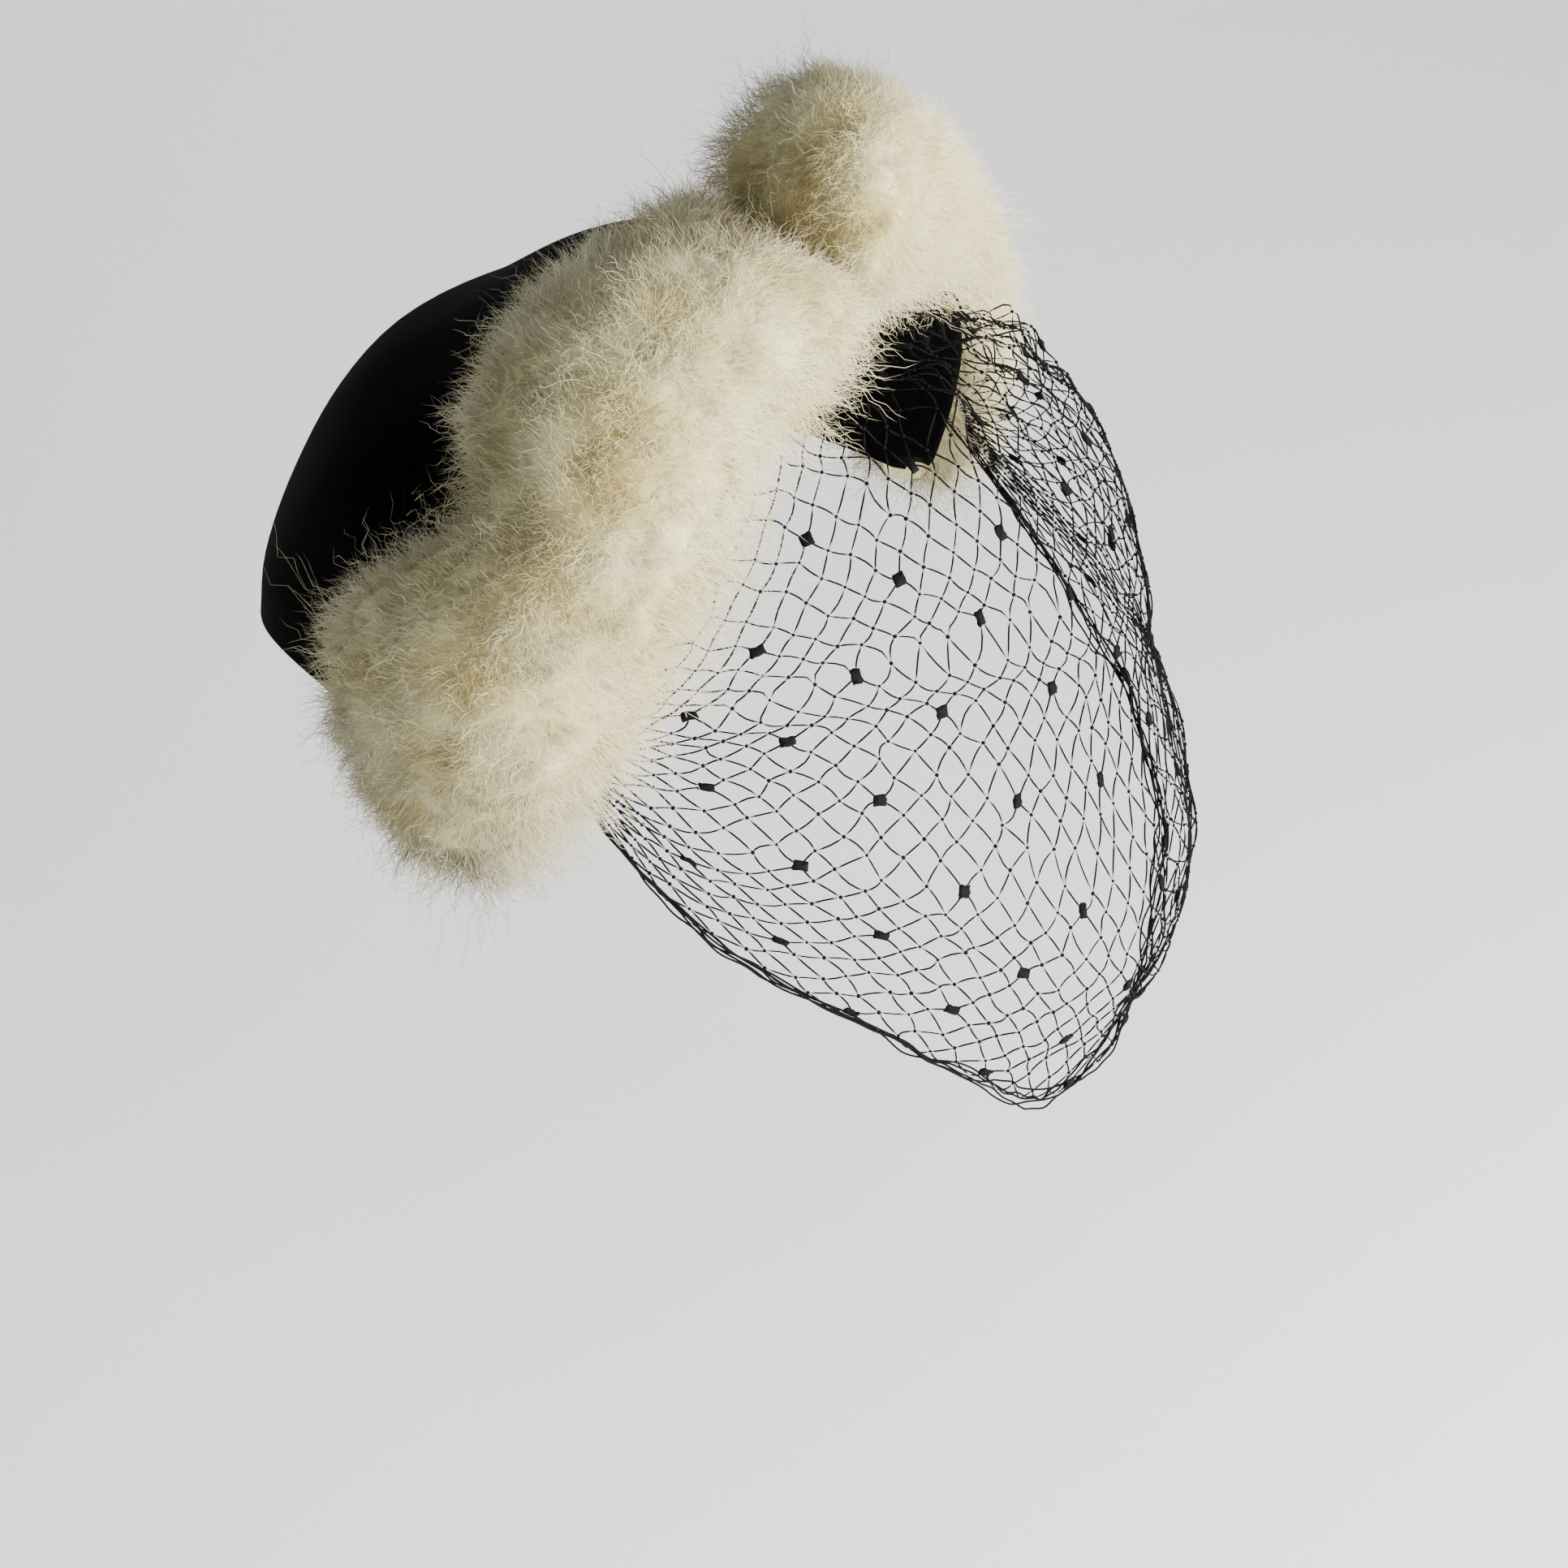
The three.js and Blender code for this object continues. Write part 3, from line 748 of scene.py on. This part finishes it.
def makeHair(hand, join, kind, style, choose, rng, material):
    # the hairs of each tuft set out from roots round its own, follow its guide and close in;
    # each is a closed spindle
    t, turn = choose(int(style["tufts"] * (1 if hand == "right" else hair["left"])), style["edge"])
    root, out, _, _ = furCore(join, t, turn)
    way = hairWays(join, t, turn, root, out, style, rng)
    length = hairLengths(t, turn, root, style, rng)
    s, guides = hairGuides(way, length, root, style, rng)
    tuft = np.repeat(np.arange(len(t)), style["hairs"])
    count = len(tuft)
    apart = rng.normal(size=(2, count)) * style["spread"]
    ownT, ownTurn = t[tuft] + apart[0] / fur["length"], turn[tuft] + apart[1] / fur["girth"]
    ownRoot, ownOut, _, rootsAndShade = furCore(join, ownT, ownTurn)
    close = (root[tuft] - ownRoot)[:, None] * style["gather"] * s ** 1.5
    loose = rng.normal(size=(count, 3))[:, None] * hair["loose"] * length[tuft] * s ** 1.5
    shorter = rng.uniform(hair["shortest"], 1.0, count)[:, None, None]
    paths = raised(ownRoot[:, None] + guides[tuft] * shorter + close + loose, hair["least"])
    inner = np.linspace(0, 1, style["points"])[1:-1]
    thick = style["thick"] * (1 - inner * hair["taper"]) * rng.uniform(*hair["thickness"], (count, 1))
    points, faces, ringNormals = spindles(paths, thick)
    # each hair is darker and yellower towards its root: partly the wool's own colour, partly painted shade
    # deep in the pile
    share = np.concatenate([[0], np.repeat(inner, 3), [1]])
    shade = hair["rootShade"] + hair["tipShade"] * share[None]
    shade = shade + hair["ownShade"] * rng.normal(size=(count, 1))
    tint = furTint(shade, rootsAndShade[:, None], points.reshape(count, -1, 3))
    tint[..., :3] *= rng.uniform(*hair["brightness"], (count, 1, 1))
    piece = makeMesh(f"fur_{kind}_{hand}", points, faces, material, tint.reshape(-1, 4))
    # the hairs are lit as the form that they cover is, with a little of their own roundness
    form = np.repeat(ownOut, len(share), 0)
    soft = unit(hair["formLight"] * form + hair["ownLight"] * ringNormals)
    piece.data.normals_split_custom_set_from_vertices(soft)
    seat(piece, f"fur_trim_{hand}")


def makeFur():
    coreStuff = furMaterial("combed undyed wool", fur["coreGlow"], True)
    hairStuff = furMaterial("undyed wool fibres", fur["hairGlow"], False)
    for n, (hand, join) in enumerate(meeting.items()):
        rng = np.random.default_rng(100 + n)
        makeCore(hand, join, coreStuff)
        choose = rootChooser(join, rng)
        for kind, style in hairKinds.items():
            makeHair(hand, join, kind, style, choose, rng, hairStuff)
        print("fur made:", hand)


makeFur()

# the net veil
veil = {
    "line": {"y": -14, "z": 48},  # the line about which its angles are measured
    "margin": 0.022,  # the share of the way across that is left free at each ear
    "middle": {  # how far the net hangs off the ellipsoid down its middle
        "fan": [106, 118, 131, 151, 169, 188, 199, 211, 219, 226, 232],
        "clear": [0.7, 0.9, 6, 6, 2, -4, -3.5, 3, 5.5, 3, 4],
    },
    "columns": 32, "rows": 21,  # diamonds from ear to ear and from the felt to the hem
    "fall": {  # how far down the rows lie: they crowd together above the hem
        "row": [0, 0.4, 0.5, 0.6, 0.7, 0.8, 0.9, 1],
        "down": [0, 0.47, 0.58, 0.705, 0.825, 0.89, 0.945, 1],
    },
    "topGather": 2.2, "fannedOut": 0.5,  # how the net is gathered at the top, and down to where
    "sideStretch": 0.027,  # how much the diamonds widen towards the ears
    "stray": 0.07, "bow": 0.04,  # how unevenly the knots and threads lie, in cells
    "crumple": 2.6, "crumpleSize": 15,  # how far the gathered top stands up in waves
    "crumpled": {"from": 110, "grows": 10, "fades": 128, "fadesOver": 25},  # where it does so
    "sway": 0.5, "swaySize": 22,  # how far the rest of it waves
    "pleat": {  # a fold down the left cheek to the middle of the hem
        "down": [0, 0.45, 0.61, 0.69, 0.77, 0.85, 0.94, 1],
        "share": [0.72, 0.715, 0.69, 0.672, 0.642, 0.602, 0.56, 0.53],
    },
    "pleatWide": 0.032, "pleatDeep": 0.026,
    "thread": 0.22, "linkSteps": 5,  # a thread's radius, and the points of one link of it
    "knot": 0.5, "knotSpread": (0.8, 1.15), "knotFlat": 0.8,
    "dotEvery": 4, "dotFirst": (3, 2),  # the links from dot to dot, and to the first
    "dot": 2.0, "dotThick": 0.6, "dotSquare": 1.1, "dotRough": 0.12, "dotGrain": 0.9,
    "hemHitch": 8,  # how many degrees higher the hem is in each cheek's middle
    "hemCords": 5, "hemCord": 0.25, "hemSteps": 240, "hemEnd": 0.003,
    "hemStray": 1.1, "hemDrift": 38, "hemTwine": 13, "twined": 0.3,  # how its cords part
    "twist": 0.4,  # the grain of a thread's twist
    "deepColour": "020203", "litColour": "0a0a0c",
}


def veilPoint(share, fan, out=0.5):
    # a point of the draped net: fan turns about the line between the gathered corners
    clear = readTable(veil["middle"], "fan", "clear", fan)
    off = lerp(veil["middle"]["clear"][0], clear, np.sin(np.pi * share)) + out
    return onFan(veil["line"], share, np.radians(fan), off)


def hemFan(share):
    # the hem's angle: it hangs lowest at the ears and in the middle
    return veil["middle"]["fan"][-1] - veil["hemHitch"] * np.sin(2 * np.pi * share) ** 2


def threadPlace(column, row):
    # where the net's own columns and rows come to lie: drawn together at the top of the
    # head, fanned out below it, bunched in the pleats and stretched towards the ears
    x = np.clip(column / veil["columns"], 0, 1)
    wide = 2 * x - 1
    top = 0.5 + 0.5 * np.sign(wide) * np.abs(wide) ** veil["topGather"]
    low = x + veil["sideStretch"] * np.sin(2 * np.pi * x)
    down = readTable(veil["fall"], "row", "down", np.clip(row / veil["rows"], 0, 1))
    aside = (low - readTable(veil["pleat"], "down", "share", down)) / veil["pleatWide"]
    low = low - veil["pleatDeep"] * aside * np.exp(-aside ** 2 / 2)
    share = lerp(top, low, 1 - (1 - np.clip(down / veil["fannedOut"], 0, 1)) ** 2)
    share = lerp(veil["margin"], 1 - veil["margin"], share)
    return share, lerp(veil["middle"]["fan"][0], hemFan(share), down)


def draped(share, fan):
    # the net where it lies, with the waves of its gathered top
    points = veilPoint(share, fan)
    where, held = veil["crumpled"], np.sin(np.pi * share)
    grown = easeIn((fan - where["from"]) / where["grows"])
    top = grown * (1 - easeIn((fan - where["fades"]) / where["fadesOver"])) * held ** 2
    wave = veil["crumple"] * top * ripple(points, veil["crumpleSize"], seed=61)
    wave = wave + veil["sway"] * ripple(points, veil["swaySize"], seed=62) * held
    return points + headNormal(points) * wave[..., None]


def netMaterial():
    # twisted black cotton thread, dyed in the yarn: soft, almost matt black
    stuff = newMaterial("twisted black cotton thread")
    place = addNode(stuff, "ShaderNodeTexCoord").outputs["Object"]
    twist = addNode(
        stuff, "ShaderNodeTexNoise", {"Scale": 1 / (veil["twist"] * mm), "Detail": 2.0},
        {"Vector": place})
    colour = addNode(stuff, "ShaderNodeValToRGB", links={"Fac": twist.outputs["Fac"]})
    colour.color_ramp.elements[0].color = linear(veil["deepColour"])
    colour.color_ramp.elements[1].color = linear(veil["litColour"])
    shader = addNode(
        stuff, "ShaderNodeBsdfPrincipled", {"Roughness": 0.8, "Specular IOR Level": 0.1},
        {"Base Color": colour.outputs["Color"]})
    addNode(stuff, "ShaderNodeOutputMaterial", links={"Surface": shader.outputs[0]})
    return stuff


def netKnots():
    # the knots, in rows half a diamond apart, each a little out of place. Gives their columns
    # and rows, and the pairs that a thread joins
    rng = np.random.default_rng(7)
    rows, columns = 2 * veil["rows"], veil["columns"]
    j, i = np.meshgrid(np.arange(rows + 1), np.arange(columns + 1), indexing="ij")
    real = (i < columns) | (j % 2 == 0)
    inside = (i > 0) & (i < columns) & (j > 0) & (j < rows)
    stray = veil["stray"] * rng.normal(size=(2, *i.shape)) * inside
    start, end = [], []
    for shift in (-1, 0):
        to = i + shift + j % 2
        good = real & (j < rows) & (to >= 0) & (to <= columns) & ((to < columns) | (j % 2 == 1))
        start.append((j * (columns + 1) + i)[good])
        end.append(((j + 1) * (columns + 1) + to)[good])
    column = (i + 0.5 * (j % 2) + stray[0]).ravel()
    row = (j / 2 + stray[1]).ravel()
    return column, row, np.concatenate(start), np.concatenate(end), (i, j, real & inside)


def makeThreads(column, row, start, end):
    # each thread between two knots is a thin spindle with blunt ends, bowed a little
    rng = np.random.default_rng(8)
    s = np.linspace(0, 1, veil["linkSteps"])[None]
    bow = veil["bow"] * rng.normal(size=(2, len(start), 1)) * np.sin(np.pi * s)
    across = lerp(column[start][:, None], column[end][:, None], s) + bow[0]
    down = lerp(row[start][:, None], row[end][:, None], s) + bow[1]
    threads = draped(*threadPlace(across, down))
    thick = np.full((len(start), veil["linkSteps"] - 2), veil["thread"])
    return spindles(threads, thick, 4)[:2]


def balls(centres, axes, rings, spokes, power=2.0):
    # closed rounded lumps: rings x spokes points of a superellipsoid on three given half axes
    v = np.linspace(0, np.pi, rings + 2)[1:-1][:, None]
    u = 2 * np.pi * np.arange(spokes)[None] / spokes
    bend = 2 / power

    def soft(x):
        return np.sign(x) * np.abs(x) ** bend

    shape = np.stack([np.sin(v) * soft(np.cos(u)), np.sin(v) * soft(np.sin(u)), np.cos(v) + 0 * u], -1)
    shape = np.concatenate([[[0, 0, 1]], shape.reshape(-1, 3), [[0, 0, -1]]])
    points = centres[:, None] + shape @ axes
    size = shape.shape[0]
    k = np.arange(spokes)
    first = np.stack([0 * k, 1 + k, 1 + (k + 1) % spokes], -1)
    last = np.stack([0 * k + size - 1, size - 1 - spokes + (k + 1) % spokes, size - 1 - spokes + k], -1)
    sides = 1 + gridFaces(rings, spokes, True)
    base = (np.arange(len(centres)) * size)[:, None, None]
    ends = (np.concatenate([first, last]) + base).reshape(-1, 3)
    return points.reshape(-1, 3), [ends, (sides + base).reshape(-1, 4)]


def acrossKnots(column, row, side, step=0.3):
    # the way over each knot along one of the two thread directions, from a part of a cell
    # before it to as much past it
    past = draped(*threadPlace(column + side * step, row + step))
    return unit(past - draped(*threadPlace(column - side * step, row - step)))


def makeNet():
    # threads between the knots, a small ball at each plain knot, and a dot at every fourth
    # link both ways
    stuff = netMaterial()
    column, row, start, end, (i, j, inside) = netKnots()
    points, faces = makeThreads(column, row, start, end)
    seat(makeMesh("net_threads", points, faces, stuff), "net_veil")
    places = draped(*threadPlace(column, row))
    out = headNormal(places)
    # link numbers along the two thread directions, to space the dots
    m, n = (j + 2 * i + j % 2) // 2, (j - 2 * i - j % 2) // 2
    every, (firstM, firstN) = veil["dotEvery"], veil["dotFirst"]
    dotted = (inside & (m % every == firstM) & (n % every == firstN)).ravel()
    plain = inside.ravel() & ~dotted
    rng = np.random.default_rng(9)
    aside = unit(np.cross(out, rng.normal(size=out.shape)))
    size = veil["knot"] * rng.uniform(*veil["knotSpread"], (len(out), 1, 1))
    axes = np.stack([aside, np.cross(out, aside), out * veil["knotFlat"]], 1) * size
    points, faces = balls(places[plain], axes[plain], rings=2, spokes=6)
    seat(makeMesh("net_knots", points, faces, stuff), "net_veil")
    # a dot is a square pad of chenille whose corners lie along the threads
    ways = [acrossKnots(column, row, side) * veil["dot"] for side in (1, -1)]
    axes = np.stack([*ways, out * veil["dotThick"]], 1)
    points, faces = balls(places[dotted], axes[dotted], rings=5, spokes=16, power=veil["dotSquare"])
    points = points + veil["dotRough"] * ripple(points, veil["dotGrain"], seed=63, outputs=3)
    seat(makeMesh("net_dots", points, faces, stuff), "net_veil")


def makeHem():
    # the hem: threads laid together from ear to ear, which part and cross as they go
    share = np.linspace(veil["hemEnd"], 1 - veil["hemEnd"], veil["hemSteps"])[None]
    straight = veilPoint(share, hemFan(share))[0]
    drift = np.stack([
        ripple(straight, veil["hemDrift"], seed=200 + n, outputs=3)
        + veil["twined"] * ripple(straight, veil["hemTwine"], seed=220 + n, outputs=3)
        for n in range(veil["hemCords"])])
    held = np.sin(np.pi * share) ** 0.5
    paths = straight[None] + veil["hemStray"] * drift * held[..., None]
    thick = np.full((veil["hemCords"], veil["hemSteps"] - 2), veil["hemCord"])
    points, faces, _ = spindles(paths, thick, 5)
    seat(makeMesh("net_hem", points, faces, netMaterial()), "net_veil")


makeNet()
makeHem()
print("net veil made")

meshes = [thing.data for thing in bpy.context.scene.collection.objects if thing.name in pieces]
print("triangles", {mesh.name: len(mesh.loops) - 2 * len(mesh.polygons) for mesh in meshes})
print("triangles in all", sum(len(mesh.loops) - 2 * len(mesh.polygons) for mesh in meshes))
